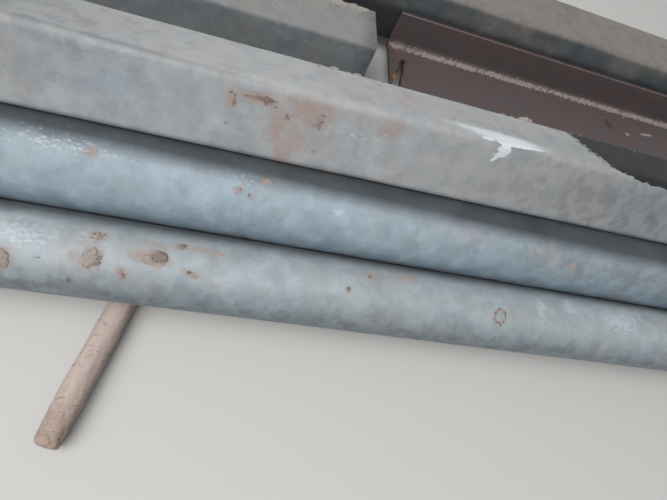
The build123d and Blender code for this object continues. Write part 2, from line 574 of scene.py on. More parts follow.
def galvanised_steel(name, zinc):
    """Dull zinc: soft spangle, bright specks, dust from above, painted shade, and the marks that its
    pieces keep.
    """
    finish = Finish(name)
    pushed = finish.pushed_coords(16 * MM, 9 * MM)
    _, spangle = finish.cells(13 * MM, pushed, "SMOOTH_F1")
    _, leaves = finish.cells(6 * MM, finish.pushed_coords(7 * MM, 4 * MM))
    cloud = finish.noise(55 * MM, 3.0, 0.55)
    fine = finish.noise(2.2 * MM, 3.0, 0.6)
    streaks = finish.noise(9 * MM, 3.0, 0.6, finish.stretched((1.0, 0.22, 0.22)))
    patches = finish.noise(20 * MM, 2.0, 0.45, pushed)
    shade = spangle * 0.40 + leaves * 0.16 + cloud * 0.45 + patches * 0.44 + streaks * 0.12
    finish.base(zinc.dark, zinc.light, (shade + fine * 0.26 - 0.40).clamped())

    drift = finish.noise(70 * MM, 4.0, 0.6)
    upward = finish.step(finish.facing_up(), -0.1, 0.95)
    settled = finish.step(drift + fine * 0.12 + upward * 0.42 + finish.field("dust"), 0.52, 1.0)
    dust = settled * zinc.dust_share
    finish.lay(zinc.dust, dust)
    stain = finish.step(finish.noise(34 * MM, 4.0, 0.6), 0.50, 0.72)
    finish.lay(STAIN, stain * zinc.stain_share)
    blotch = finish.step(finish.noise(17 * MM, 5.0, 0.62, pushed), 0.46, 0.62)
    finish.lay(zinc.dark, blotch * zinc.blotch_share)

    # Painted shade in the gaps where pieces meet.
    painted_gap_shade = finish.field("painted_gap_shade")
    finish.lay(SHADE_AND_GRIME, painted_gap_shade * (0.72 + 0.25 * cloud))
    finish.lay(SHADE_AND_GRIME, finish.field("crease") * (0.25 + 0.25 * cloud))
    # Painted shade where the piece keeps it: under the front tube, towards the right of the upper and
    # top tubes, and at the rear tube's end.
    finish.lay(SHADE_AND_GRIME, finish.field("damp") * (0.24 + 0.2 * cloud + 0.13 * blotch))
    film, deep = add_rust(finish)
    wet, lime = add_splashes(finish, streaks, pushed)
    pit = add_specks(finish, dust, painted_gap_shade)

    cover = dust.at_least(film).at_least(deep).at_least(lime).at_least(wet)
    roughness = 0.50 + 0.12 * spangle + 0.28 * cover - 0.1 * wet
    metallic = (0.30 * (1 - cover)).clamped()
    relief = finish.bump(spangle * 0.5 + cloud + streaks * 0.5, 0.10 * MM)
    relief = finish.bump(fine + cover * 0.8 - pit, 0.09 * MM, relief)
    return finish.close(roughness.clamped(), metallic, relief, 0.4)


# Two tones of one primer: the lighter for faces that look up, painted light with some dust, and the
# darker for faces that look to the side.
LIT_DUSTY_PRIMER = linear(104, 93, 92)
SHADED_PRIMER = linear(89, 80, 80)
RED_PRIMER = linear(112, 80, 76)
ROOT_DUST = linear(138, 124, 118)
PALE_SCRATCH_AND_HIGHLIGHT = linear(176, 166, 158)
FRESH_RUST = linear(206, 122, 44)
# Dark steel for the cuts, also used as painted shade on the upright leg's top face.
SAWN_STEEL_AND_SHADE = linear(46, 40, 37)


def red_oxide_primer(name):
    """Matt dark primer on rolled steel, worn red in places, dusty, scratched, rusting at the cut. It has
    painted light on faces that look up, a painted highlight on the upright's top edge and painted shade
    on its top face.
    """
    finish = Finish(name)
    cloud = finish.noise(60 * MM, 4.0, 0.6)
    scale = finish.noise(7 * MM, 5.0, 0.65)
    fine = finish.noise(1.6 * MM, 3.0, 0.6)
    # Painted light: faces that look up take the lighter primer.
    upward = finish.step(finish.facing_up(), 0.2, 0.9)
    shade = upward * 0.75 + cloud * 0.5 + scale * 0.3 - 0.4
    finish.base(SHADED_PRIMER, LIT_DUSTY_PRIMER, shade.clamped())
    finish.lay(RED_PRIMER, finish.step(cloud * 0.6 + scale * 0.4, 0.46, 0.62) * 0.5)
    dust = finish.ragged("dust", scale, 0.8, 0.3)
    finish.lay(ROOT_DUST, dust * 0.75)
    scratches = finish.noise(1.8 * MM, 2.0, 0.5, finish.stretched((0.06, 1.0, 1.0), 4.0))
    patches = finish.noise(28 * MM, 2.0)
    scratch = finish.step(scratches, 0.70, 0.74) * finish.step(patches, 0.52, 0.62)
    finish.lay(PALE_SCRATCH_AND_HIGHLIGHT, scratch * 0.4)
    # The upright leg's top edge: worn paint, partly a painted highlight.
    edge = finish.ragged("edge", scale, 0.9, 0.12)
    finish.lay(PALE_SCRATCH_AND_HIGHLIGHT, edge * 0.16)
    chip = finish.ragged("chip", finish.noise(3 * MM, 4.0, 0.6), 0.8, 0.08)
    finish.lay(PALE_SCRATCH_AND_HIGHLIGHT, chip)
    # Dark steel on the cuts, and painted shade on the upright leg's top face.
    sawn = finish.field("sawn")
    finish.lay(SAWN_STEEL_AND_SHADE, sawn * 0.9)
    rust = finish.ragged("deep_rust", finish.noise(3 * MM, 4.0, 0.7), 0.6, 0.1)
    finish.lay(FRESH_RUST, rust)
    roughness = 0.52 + 0.2 * scale + 0.25 * dust
    relief = finish.bump(scale + scratch * -0.6, 0.16 * MM)
    relief = finish.bump(fine + dust, 0.10 * MM, relief)
    return finish.close(roughness.clamped(), 0.08, relief)


PALE_WOOD = linear(230, 212, 203)
DARK_WOOD = linear(192, 171, 161)
BARK_FLECK = linear(112, 92, 80)
TIP_DIRT = linear(178, 150, 132)


def peeled_timber(name):
    """Peeled round timber: pale pinkish fibres, dark bark flecks, cross cracks and a dirty end."""
    finish = Finish(name)
    along = finish.stretched((1.0, 0.07, 1.0))
    fibre = finish.noise(3.0 * MM, 4.0, 0.65, along)
    broad = finish.noise(22 * MM, 3.0, 0.5, finish.stretched((1.0, 0.3, 1.0)))
    fine = finish.noise(1.0 * MM, 3.0, 0.6)
    finish.base(DARK_WOOD, PALE_WOOD, (fibre * 0.8 + broad * 0.7 - 0.3).clamped())
    fleck_distance, fleck_chance = finish.cells(3.2 * MM, finish.stretched((0.7, 1.0, 0.7)))
    fleck = finish.step(fleck_chance, 0.72, 0.80) * finish.step(0.24 - fleck_distance, 0.0, 0.12)
    crack = finish.step(finish.noise(5 * MM, 3.0, 0.6, finish.stretched((0.35, 1.6, 0.35))), 0.63, 0.68)
    grain = finish.noise(2.0 * MM, 4.0, 0.7)
    marks = (fleck * 0.6).at_least(crack * 0.5).at_least(finish.step(grain, 0.60, 0.72) * 0.45)
    finish.lay(BARK_FLECK, marks)
    dirt = finish.ragged("dirt", finish.noise(7 * MM, 4.0, 0.65), 0.8, 0.3)
    soil = finish.mix(BARK_FLECK, TIP_DIRT, finish.step(grain, 0.36, 0.54))
    finish.lay(soil, dirt * (0.35 + 0.5 * fine))
    relief = finish.bump(fibre + broad * 0.5 - marks, 0.35 * MM)
    relief = finish.bump(fine, 0.08 * MM, relief)
    return finish.close((0.72 + 0.15 * fibre).clamped(), 0.0, relief)


PALE_MUD = linear(174, 164, 155)
BROWN_MUD = linear(144, 126, 119)
# A dark mud colour for painted shade in low parts.
SHADED_MUD = linear(98, 82, 76)
CRYSTAL = linear(222, 216, 208)


def dried_mud(name):
    """Dried mud and grit: pale or red-brown as the piece says, with painted shade in its low parts."""
    finish = Finish(name)
    lumps = finish.noise(3.0 * MM, 4.0, 0.65)
    fine = finish.noise(0.8 * MM, 3.0, 0.6)
    red = finish.step(finish.field("red") + (lumps - 0.5) * 0.5, 0.15, 0.85)
    finish.base(PALE_MUD, BROWN_MUD, red)
    # Painted shade in the low parts of the mud.
    low_shade = finish.step(finish.field("low_shade") + (lumps - 0.5) * 0.6, 0.35, 0.8)
    finish.lay(SHADED_MUD, low_shade * 0.8)
    _, chance = finish.cells(1.1 * MM)
    finish.lay(CRYSTAL, finish.step(chance, 0.98, 0.99) * 0.5)
    relief = finish.bump(lumps + fine * 0.5, 0.35 * MM)
    return finish.close(0.9, 0.0, relief)


def loose_grit(name, pale, dark):
    """Loose grains, each of its own tone."""
    finish = Finish(name)
    _, chance = finish.cells(1.3 * MM)
    finish.base(dark, pale, chance)
    finish.lay(CRYSTAL, finish.step(chance, 0.93, 0.96))
    return finish.close(0.75)


# Grains scattered by Geometry Nodes


def grain_tree():
    """A Geometry Nodes tree that scatters grains over a patch, as thick as the patch's cover says."""
    tree = bpy.data.node_groups.new("scattered_grains", "GeometryNodeTree")
    inputs = {
        "Geometry": "NodeSocketGeometry",
        "Grains per Square Metre": "NodeSocketFloat",
        "Grain Radius": "NodeSocketFloat",
        "Smallest Share": "NodeSocketFloat",
        "Seed": "NodeSocketInt",
        "Grain Material": "NodeSocketMaterial",
    }
    for name, kind in inputs.items():
        tree.interface.new_socket(name=name, in_out="INPUT", socket_type=kind)
    tree.interface.new_socket(name="Geometry", in_out="OUTPUT", socket_type="NodeSocketGeometry")
    graph = Graph(tree)
    given = graph.node("NodeGroupInput")
    cover = graph.number(
        "GeometryNodeInputNamedAttribute", {"data_type": "FLOAT"}, {"Name": "cover"}, "Attribute"
    )
    crowd = Number(graph, given.outputs["Grains per Square Metre"]) * cover
    spread = graph.node(
        "GeometryNodeDistributePointsOnFaces",
        {"distribute_method": "RANDOM"},
        {"Mesh": given.outputs["Geometry"], "Density": crowd, "Seed": given.outputs["Seed"]},
    )
    grain = graph.node(
        "GeometryNodeMeshIcoSphere", None, {"Radius": given.outputs["Grain Radius"], "Subdivisions": 1}
    )
    smallest = given.outputs["Smallest Share"]
    size = graph.node(
        "FunctionNodeRandomValue",
        {"data_type": "FLOAT_VECTOR"},
        {"Min": smallest, "Max": (1.0, 1.0, 1.0), "Seed": given.outputs["Seed"]},
    )
    spin = graph.node(
        "FunctionNodeRandomValue",
        {"data_type": "FLOAT_VECTOR"},
        {"Min": (0.0, 0.0, 0.0), "Max": (2 * math.pi,) * 3, "Seed": 5},
    )
    grains = graph.node(
        "GeometryNodeInstanceOnPoints",
        None,
        {
            "Points": spread.outputs["Points"],
            "Instance": grain.outputs["Mesh"],
            "Rotation": graph.out(spin, "Value"),
            "Scale": graph.out(size, "Value"),
        },
    )
    real = graph.node("GeometryNodeRealizeInstances", None, {"Geometry": grains.outputs["Instances"]})
    coloured = graph.node(
        "GeometryNodeSetMaterial",
        None,
        {"Geometry": real.outputs["Geometry"], "Material": given.outputs["Grain Material"]},
    )
    graph.node("NodeGroupOutput", None, {"Geometry": coloured.outputs["Geometry"]})
    return tree


Grit = namedtuple("Grit", "crowd radius smallest")
ROOT_GRIT = Grit(90000, 1.3 * MM, 0.35)
LEG_GRIT = Grit(1500, 0.8 * MM, 0.3)
REAR_GRIT = Grit(3500, 1.1 * MM, 0.3)
TOP_GRIT = Grit(14000, 1.4 * MM, 0.3)


def scatter(name, patch, tree, grit, seed, material):
    """Turns a patch into the grains that lie on it."""
    values = {
        "Grains per Square Metre": grit.crowd,
        "Grain Radius": grit.radius,
        "Smallest Share": grit.smallest,
        "Seed": seed,
        "Grain Material": material,
    }
    modifier = patch.modifiers.new("grains", "NODES")
    modifier.node_group = tree
    for item in tree.interface.items_tree:
        if item.in_out == "INPUT" and item.name in values:
            modifier[item.identifier] = values[item.name]
    mesh = evaluated_mesh(patch)
    bpy.data.objects.remove(patch)
    return linked(name, mesh)


def sheet_places(skin, spans, steps):
    """A grid of places on a section's surface, over spans of x and s: x, s and the points."""
    (low_x, high_x), (low_s, high_s) = spans
    columns = np.arange(low_x, high_x, steps[0])
    rows = np.arange(low_s, high_s, steps[1])
    x, s = np.meshgrid(columns, rows, indexing="ij")
    return x, s, skin.place(x, s, 0)


def surface_patch(name, skin, spans, step, cover):
    """A sheet on a section's surface. cover(s, points) is how thick its grains lie, 0 to 1."""
    x, s, points = sheet_places(skin, spans, (step, step))
    patch = new_piece(name, points.reshape(-1, 3), grid_faces(*x.shape))
    set_field(patch, "cover", unit(cover(s, points)))
    return patch


# Caked dirt: a grid whose height falls under the steel where there is no dirt

Cake = namedtuple("Cake", "x s length width height red lip turn seed", defaults=(0.0, 0.0, 1))
SUNK = 0.5 * MM


def cake_shell(skin, x, s, height):
    """Points and faces of a closed cake: its top at the given height, its base inside the wall."""
    top = skin.place(x, s, np.maximum(height, -SUNK))
    base = skin.place(x, s, -2 * SUNK)
    rows, columns = x.shape
    count = rows * columns
    faces = grid_faces(rows, columns)
    faces += [[count + corner for corner in reversed(face)] for face in faces]
    rim = list(range(columns))
    rim += [row * columns + columns - 1 for row in range(1, rows)]
    rim += [(rows - 1) * columns + column for column in range(columns - 2, -1, -1)]
    rim += [row * columns for row in range(rows - 2, 0, -1)]
    for here, there in zip(rim, rim[1:] + rim[:1]):
        faces.append([here, there, count + there, count + here])
    return np.concatenate([top.reshape(-1, 3), base.reshape(-1, 3)]), faces


CAKE_STEP = 0.8 * MM
CAKE_REACH = 1.5
CAKE_RAGGEDNESS = 0.13
CAKE_OUTLINE_SIZE = 7 * MM
CAKE_LUMP_SIZE = 2.6 * MM
LIP_PLACE = 0.8
LIP_WIDTH = 0.16
CAKE_BURIED = 0.12 * MM
CAKE_FALL = 2 * MM


def mud_piece(name, cakes):
    """One piece of several cakes of mud. Each comes with the skin that it lies on."""
    points, faces, reds, low_shades = [], [], [], []
    for skin, cake in cakes:
        reach = max(cake.length, cake.width) * CAKE_REACH * MM
        span = np.arange(-reach, reach + CAKE_STEP, CAKE_STEP)
        x, s = np.meshgrid(cake.x * MM + span, cake.s * MM + span, indexing="ij")
        places = skin.place(x, s, 0)
        ragged = 1 + CAKE_RAGGEDNESS * rough(places, CAKE_OUTLINE_SIZE, cake.seed)
        away = from_middle(x, s - cake.s * MM, cake) * ragged
        dome = np.clip(1 - away**4, -1, 1)
        lip = cake.lip * bell(away - LIP_PLACE, LIP_WIDTH)
        lumps = 0.3 * rough(places, CAKE_LUMP_SIZE, cake.seed + 7) * (1 + lip)
        height = cake.height * MM * (dome * (1 - cake.lip * 0.75) + lip + lumps * (dome > 0))
        height -= CAKE_BURIED + CAKE_FALL * unit(-dome)
        shell, shell_faces = cake_shell(skin, x, s, height)
        start = sum(len(part) for part in points)
        points.append(shell)
        faces += [[corner + start for corner in face] for face in shell_faces]
        reds += [np.full(x.size, cake.red)] * 2
        # Painted shade at a cake's rim and in its dips.
        low_shades += [unit(0.55 - dome * 0.45 - lumps).ravel()] * 2
    piece = new_piece(name, np.concatenate(points), faces)
    set_field(piece, "red", np.concatenate(reds))
    set_field(piece, "low_shade", np.concatenate(low_shades))
    return piece


# What the frame says of each piece


def centre_of(node):
    """The middle and the size of a node's box."""
    low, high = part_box(node)
    return (low + high) / 2, high - low


def stretch_of(node, from_left, from_right, low_s, high_s):
    """Spans of x and s on a piece, given in millimetres: in from its ends, and round its outline."""
    low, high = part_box(node)
    return (low.x + from_left * MM, high.x - from_right * MM), (low_s * MM, high_s * MM)


def bore_of(node):
    """The bore radius that the record gives for a round tube."""
    name = node.replace("round_tube_", "") + "_tube_bore"
    mount = next(mount for mount in frame["record"]["mounts"] if mount["name"] == name)
    return mount["dims"]["r_mm"] * MM


def lean_of(width, side, corner):
    """How far a rounded square of that side leans, from the width of its box."""
    share = (width - 2 * corner) / (side - 2 * corner)
    return math.asin(min(1.0, share / math.sqrt(2))) - math.pi / 4


# Marks on each tube, in millimetres: along X from the middle of the stack, and round the outline

def marks(*rows):
    """Marks from rows of their values."""
    return [Mark(*row) for row in rows]


FRONT_RUST = marks(
    (-293, 30, 9, 11), (-229, 41, 10, 13, -12, 0.9), (-238, 44, 22, 17, 0, 0.6),
    (-226, 61, 9, 7), (-190, 50, 24, 11, 0, 0.68), (-184, 61, 16, 6, -10, 0.75),
    (-179, 48, 14, 8, -10), (-159, 63, 7, 4), (-137, 62.5, 22, 3.4, -3, 0.95),
    (-203, 32, 7, 9, 20, 0.8), (-146, 39, 11, 3.4, -20, 0.9), (-128, 32, 8, 8, 0, 0.6),
    (20, 64, 7, 5, 0, 0.8), (-1, 47, 5, 5, 0, 0.8), (60, 68, 26, 7, 0, 0.7),
    (167, 42, 8, 10, 0, 0.5), (760, 55, 30, 14), (-820, 70, 22, 16),
)
FRONT_DEEP_RUST = marks(
    (-175, 50, 7, 5.5, -8), (-226, 61, 8, 6, 0, 0.6), (-159, 64, 5, 3, 20, 0.9),
    (-205, 34, 2.5, 5, 30, 0.8), (-201, 28, 2.5, 4, -30, 0.8), (-146, 39.5, 7, 1.8, -20, 0.85),
    (-242, 19.5, 2.4, 4, -15, 0.9), (-268, 35.7, 2.2, 1.5), (-222, 39, 2.6, 10, -8, 0.8),
    (20, 64, 2.5, 2), (-1, 47, 2.5, 2.4),
)
# Scrapes, partly painted glints of zinc flakes in the bright band at the far left.
FRONT_SCRAPES_AND_GLINTS = marks(
    (-292, 54, 28, 10, 0, 0.75), (-232, 60, 18, 7, 0, 0.5), (219, 56, 6, 12, 8, 0.85),
    (257, 66, 7, 11, 8, 0.85), (330, 60, 26, 13, 8, 0.8),
)
UPPER_RUST = marks(
    (-242, 52, 6, 5), (-119, 43, 4, 4), (-108, 40, 4, 3), (-97, 56, 5, 3), (246, 30, 5, 5),
    (110, 44, 50, 16, 0, 0.5), (208, 38, 30, 14, 0, 0.55), (-640, 60, 24, 12),
    (900, 48, 18, 20),
)
UPPER_DEEP_RUST = marks((-242, 52, 2, 2), (-108, 40, 2, 2), (-119, 43, 1.5, 1.5))
# Painted shade on the upper tube: darker towards the right, and a little at the far left.
UPPER_PAINTED_SHADE = marks((440, 26, 200, 32, 0, 1.0), (-340, 50, 80, 18, 0, 0.6))
# Scrapes and painted glints on the upper tube.
UPPER_SCRAPES_AND_GLINTS = marks((-24, 41, 5, 3), (-270, 53, 50, 8, 0, 0.5), (-120, 54, 30, 6, 0, 0.4))
TOP_RUST = marks(
    (-172, 15, 15, 13, 0, 0.5), (-138.5, 15, 4.5, 10, 10, 0.95), (-117, 21, 17, 6, -6),
    (-92, 27, 9, 3.6, -5, 0.9), (-70, 20, 20, 13), (-60, 25, 15, 8, 0, 0.9),
    (-90, -4, 58, 34, 0, 0.5), (-89, 10, 11, 8, 0, 0.75), (-96, 2, 9, 24, 8, 0.85),
    (-79, -12, 9, 8), (-86, -24, 9, 12), (-80, -36, 28, 3.2, 0, 0.95),
    (-45, -34.5, 18, 3, 0, 0.9), (14, -35, 30, 3, 0, 0.8), (-166, -36.5, 26, 2.6, 0, 0.8),
    (-143, -7, 6, 2.4, -25, 0.8), (5, 22, 13, 11, 0, 0.8), (20, 80, 120, 28, 0, 0.55),
    (150, -2, 60, 30, 0, 0.42), (-560, 8, 50, 18), (720, -10, 36, 20),
)
TOP_DEEP_RUST = marks(
    (-112, 21, 11, 3, -12, 0.95), (-123, 22, 7, 3, 0, 0.7), (-138, 16, 2.6, 7, 10, 0.8),
    (-90, 27, 6, 1.8, -10, 0.75), (-61, 13, 2.6, 8, 10, 0.9), (-66, 10, 5, 2, -15, 0.85),
    (-90, 11, 5, 3, 20, 0.75), (-60, -18, 2.4, 5, -20, 0.7), (-141, -8, 3, 1.4, -25, 0.7),
    (-80, -37, 20, 1.6, 0, 0.6),
)
TOP_CREASES = marks((-225, 37.5, 82, 1.6, -1.6), (128, 33.5, 24, 1.2, -1.5))
# Painted shade on the top tube: its front face darker towards the right, and its top face darker at the
# far left and near the middle.
TOP_PAINTED_SHADE = marks((330, 0, 150, 46), (240, 66, 90, 20, 0, 0.45), (-360, 70, 110, 60, 0, 0.95))
TOP_DUST = marks((90, 0, 150, 42, 0, 0.4), (40, 80, 160, 34, 0, 0.8))
TOP_HAZE = marks((114, 43.5, 38, 7, -3), (84, 46, 24, 6, -5, 0.75), (142, 43, 24, 5, 0, 0.6))
# Scrapes and painted glints on the top tube.
TOP_SCRAPES_AND_GLINTS = marks((-30, 8, 60, 18, 0, 0.35), (300, 36, 60, 8, 0, 0.4))
TOP_LIME = marks(
    (98, 36.5, 12, 1.3, 0, 1.0), (124, 36, 20, 1.8, 0, 1.0), (150, 37.5, 14, 1.0, 0, 0.9),
    (117, 29, 6.5, 8, 0, 1.0), (109.5, 19, 2.3, 6.5, 30, 1.0),
)
FRONT_DENTS = marks((-60, 55, 26, 16, 0, 0.5), (300, 48, 34, 18, 0, 0.5))
UPPER_DENTS = marks((40, 46, 30, 18, 0, 0.6), (-210, 40, 24, 16, 0, 0.4))
TOP_DENTS = marks((-20, 4, 50, 22, 0, 0.5), (118, 37, 12, 4, 0, 0.6), (250, -4, 40, 20, 0, 0.5))

RIDGE = 39 * MM
REAR_RIDGE = 112 * MM
WET_START = 241 * MM
WET_SLANT = 0.34
WET_SPILL_SLANT = 5.9
WET_SPILL_END = 31 * MM
WET_FADE = 24 * MM
WET_END = 575 * MM
WET_END_WAVE = 35 * MM
WET_END_WAVE_LENGTH = 17 * MM
WET_END_FADE = 150 * MM
PALE_RIM = 9 * MM
PALE_RIM_START = 0.41
PALE_RIM_GROWTH = 0.03


def wet_field(x, s):
    """The dark patch on the top tube: its edge slants over the top face and spills over the ridge."""
    slant = (RIDGE - s) * np.where(s > RIDGE, WET_SLANT, WET_SPILL_SLANT)
    far_end = WET_END + WET_END_WAVE * np.sin((s - RIDGE) / WET_END_WAVE_LENGTH)
    rear_edge = REAR_RIDGE - PALE_RIM * unit((x - PALE_RIM_START) / PALE_RIM_GROWTH)
    edges = [
        ramp(x - WET_START - slant, WET_FADE),
        ramp(far_end - x, WET_END_FADE),
        ramp(rear_edge - s, 6 * MM),
        ramp(s - WET_SPILL_END, 4 * MM),
    ]
    return np.minimum.reduce(edges)


def steel_relief(amount, seed, dented, skin):
    """Long waves and faint lumps of a rolled, dipped wall, always a little inside its true size."""
    def relief(x, s, places):
        long_waves = waves(places, 120 * MM, seed)
        lumps = waves(places, 22 * MM, seed + 3)
        slack = amount * (0.62 * long_waves + 0.30 * lumps) - amount
        return np.minimum(slack, 0) - dents(skin, x, s, dented)

    return relief


# Painted shade in the groove where two round tubes touch, where a neighbour shades the tube.
Groove = namedtuple("Groove", "low high drift strength")
FRONT_GROOVE = Groove(78 * MM, 112 * MM, -0.010, 0.8)
UPPER_GROOVE = Groove(55 * MM, 98 * MM, 0.018, 1.0)
INNER_GROOVE = Groove(55 * MM, 98 * MM, 0.0, 1.0)
GROOVE_REACH = 0.3
GAP_SHADE_FADE = 15 * MM


def painted_groove_shade(x, s, groove):
    """Painted shade where two tubes touch. Its place drifts round the tube a little along X."""
    place = s + np.clip(x, -GROOVE_REACH, GROOVE_REACH) * groove.drift
    return ramp(np.minimum(place - groove.low, groove.high - place), GAP_SHADE_FADE) * groove.strength


def keep_marks(swept, skin, **marks):
    """Keeps each list of marks as a field of the piece."""
    for name, listed in marks.items():
        set_field(swept.object, name, mark_field(skin, swept.x, swept.s, listed))


# Settings that a user would change


def length_setting(name, description, default, lowest=1):
    """A length that a user can change, with its default and its lowest value in millimetres."""
    return FloatProperty(
        name=name, description=description, default=default * MM, min=lowest * MM,
        subtype="DISTANCE", unit="LENGTH",
    )


class StackSettings(bpy.types.PropertyGroup):
    """What the frame doesn't say: section sizes, the notch, the waves, a seed and the floor's colour."""

    top_side: length_setting("Top Side", "Side of the top square tube", 75, 20)
    small_wall: length_setting("Small Wall", "Wall of the smaller square tubes", 3.2)
    large_wall: length_setting("Large Wall", "Wall of the back square tube", 4)
    top_corner: length_setting("Top Corner", "Outside corner radius of the top tube", 8)
    rear_corner: length_setting("Rear Corner", "Outside corner radius of the rear tube", 8)
    back_corner: length_setting("Back Corner", "Outside corner radius of the back tube", 9)
    angle_thickness: length_setting("Angle Thickness", "Thickness of both legs", 7)
    angle_root: length_setting("Angle Root", "Radius between the legs", 10)
    angle_toe: length_setting("Angle Toe", "Radius at the tip of each leg", 2.3)
    notch_mouth: length_setting("Notch Mouth", "Width of the notch at the flat leg's edge", 12.7)
    notch_tip: length_setting("Notch Tip", "Width of the notch at its inner end", 4.3)
    notch_from_end: length_setting("Notch from End", "Notch's mouth to the angle's left end", 7.6, 5)
    notch_web: length_setting("Notch Web", "Steel left between the notch and the root", 29)
    notch_lean: FloatProperty(
        name="Notch Lean", description="Turn of the notch from square across",
        default=math.radians(15.4), subtype="ANGLE", unit="ROTATION",
    )
    relief: length_setting("Relief", "Depth of the waves in a tube's wall", 0.22, 0)
    grain_seed: IntProperty(name="Grain Seed", description="Seed of the scattered grains", default=4)
    floor_colour: FloatVectorProperty(
        name="Floor Colour", description="Colour of the floor",
        default=linear(226, 224, 220), min=0, max=1, subtype="COLOR",
    )


def settings():
    """The sizes and colours that a user has set."""
    return bpy.context.scene.tube_stack


NEAR_LOW = -0.36
NEAR_HIGH = 0.46
NEAR_STEP = 4.5 * MM
FAR_STEP = 16 * MM
RIM = 1 * MM
ROUND_PARTS = 88
SQUARE_PARTS = (14, 6)
WELD_BEAD = (2.4 * MM, 0.9 * MM)
ROUND_WELD_PLACE = 0.80
SQUARE_WELD_PLACE = 0.62
UNDERSIDE = -22 * MM


def round_skins(node):
    """The outer and inner outlines of a round tube."""
    centre, size = centre_of(node)
    outer = circle_skin(centre.y, centre.z, size.z / 2, ROUND_PARTS)
    inner = circle_skin(centre.y, centre.z, bore_of(node), ROUND_PARTS)
    return outer, inner


def square_sizes(node):
    """Side, wall and corner radius of a square tube. Only the top one leans in its box."""
    chosen = settings()
    place = node.split("_")[-1]
    corners = {"top": chosen.top_corner, "rear": chosen.rear_corner, "back": chosen.back_corner}
    side = chosen.top_side if place == "top" else centre_of(node)[1].z
    wall = chosen.large_wall if place == "back" else chosen.small_wall
    return side, wall, corners[place]


def square_skins(node):
    """The outer and inner outlines of a square tube, leaning as its box says."""
    side, wall, corner = square_sizes(node)
    centre, size = centre_of(node)
    lean = lean_of(size.z, side, corner)
    outer = square_skin(centre.y, centre.z, side, corner, lean, *SQUARE_PARTS)
    inner = square_skin(centre.y, centre.z, side - 2 * wall, corner - wall, lean, *SQUARE_PARTS)
    return outer, inner


def tube_stations(node):
    low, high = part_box(node)
    return stations(low.x, high.x, NEAR_LOW, NEAR_HIGH, NEAR_STEP, FAR_STEP, RIM)


FRONT_MARKS = {"rust": FRONT_RUST, "deep_rust": FRONT_DEEP_RUST, "scrape": FRONT_SCRAPES_AND_GLINTS}
UPPER_MARKS = {
    "rust": UPPER_RUST,
    "deep_rust": UPPER_DEEP_RUST,
    "scrape": UPPER_SCRAPES_AND_GLINTS,
    "damp": UPPER_PAINTED_SHADE,
}
ROUND_LOOKS = {
    "front": (FRONT_GROOVE, FRONT_DENTS, FRONT_MARKS),
    "upper": (UPPER_GROOVE, UPPER_DENTS, UPPER_MARKS),
    "inner": (INNER_GROOVE, [], {"rust": marks((200, 60, 60, 20))}),
}


class STACK_OT_round_tubes(bpy.types.Operator):
    """Makes the three welded round tubes"""

    bl_idname = "stack.round_tubes"
    bl_label = "Round Tubes"

    def execute(self, context):
        steel = galvanised_steel("galvanised_round_tube", FRESH_ZINC)
        blue_steel = galvanised_steel("galvanised_blue_tube", BLUE_ZINC)
        for seed, (place, (groove, dented, fields)) in enumerate(ROUND_LOOKS.items(), 11):
            node = f"round_tube_{place}"
            outer, inner = round_skins(node)
            bead = Bead(outer.around * ROUND_WELD_PLACE, *WELD_BEAD)
            shape = steel_relief(settings().relief, seed, dented, outer)
            swept = sweep(f"{place}_round_tube", outer, tube_stations(node), shape, inner, bead)
            keep_marks(swept, outer, **fields)
            set_field(swept.object, "painted_gap_shade", painted_groove_shade(swept.x, swept.s, groove))
            if place == "front":
                # Painted shade on the front tube, darker towards its underside.
                from_under = abs(outer.apart(swept.s, UNDERSIDE))
                set_field(swept.object, "damp", unit((62 * MM - from_under) / (32 * MM)))
            dress(swept.object, blue_steel if place == "upper" else steel, node)
        return {"FINISHED"}


